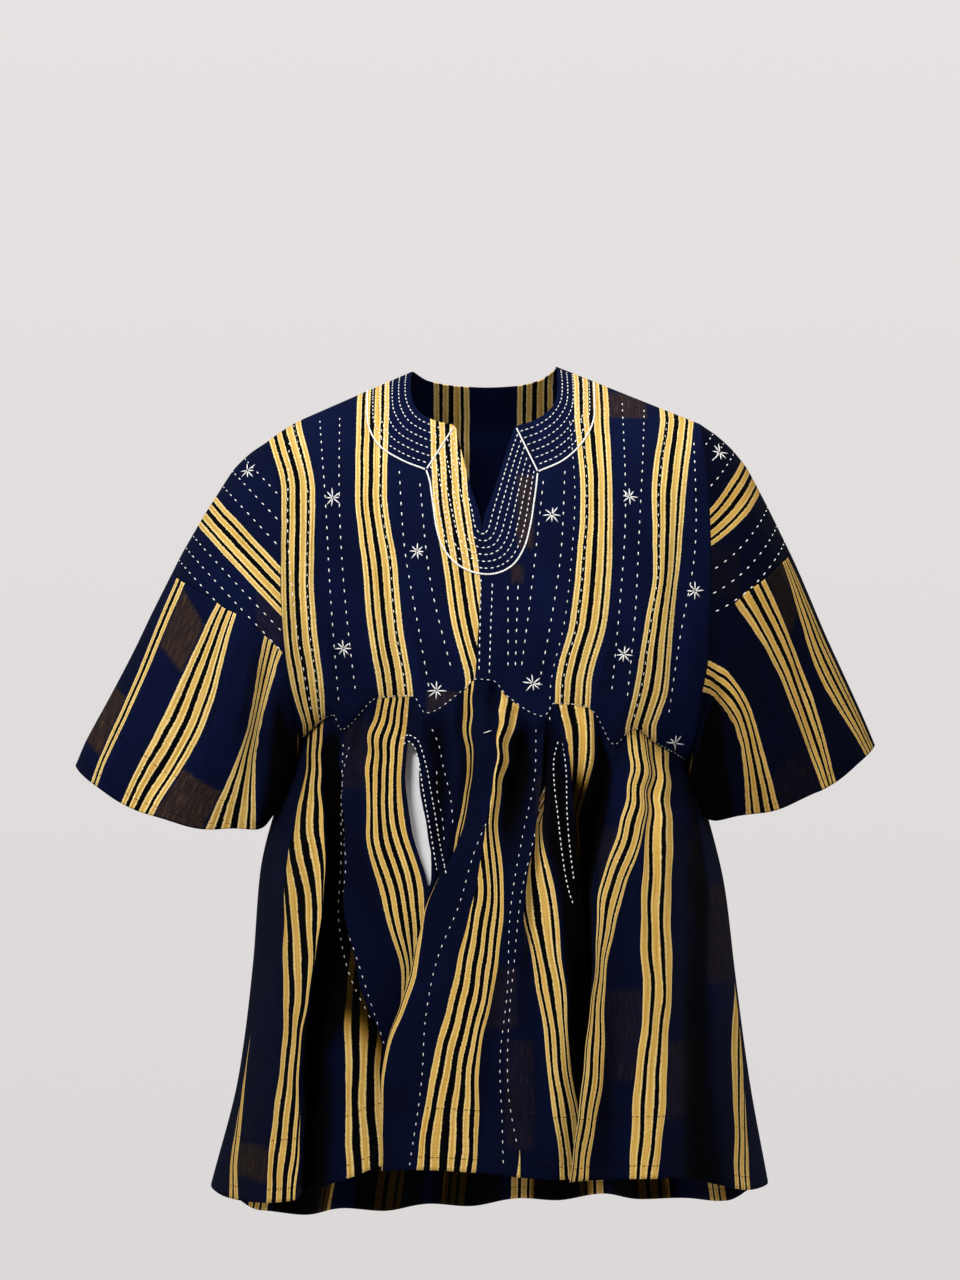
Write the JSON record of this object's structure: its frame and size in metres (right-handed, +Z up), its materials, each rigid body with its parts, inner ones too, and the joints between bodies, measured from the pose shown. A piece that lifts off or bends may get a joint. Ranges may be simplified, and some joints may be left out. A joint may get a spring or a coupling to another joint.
{
  "type": "fugu smock",
  "caption": "Loose hollow smock of hand-woven strips with a slit neck, yoke, wide two-part sleeves and a gathered skirt, worn open at neck, cuffs and hem.",
  "frame": {"origin": "the middle of the neck opening, at the height of the shoulder line beside the neck, where the wearer's shoulders hold the smock", "axes": "+Z up, +Y to the back, so the front faces -Y, and +X to the wearer's left; the smock is longest from shoulder to hem, along Z"},
  "size_m": [0.797, 0.4601, 0.8683],
  "materials": {
    "striped_cloth": "matte hand-woven cotton, navy with groups of gold and black warp stripes",
    "pocket_lining": "plain pale cotton lining",
    "white_thread": "white cotton embroidery thread, for the stitches and stars"
  },
  "bodies": {
    "root": {"front_bodice_right": "striped_cloth", "front_bodice_left": "striped_cloth", "back_bodice": "striped_cloth", "sleeve_cap_right": "striped_cloth", "sleeve_right": "striped_cloth", "sleeve_cap_left": "striped_cloth", "sleeve_left": "striped_cloth", "skirt_front": "striped_cloth", "skirt_back": "striped_cloth", "pocket_lining_right": "pocket_lining"}
  },
  "joints": []
}
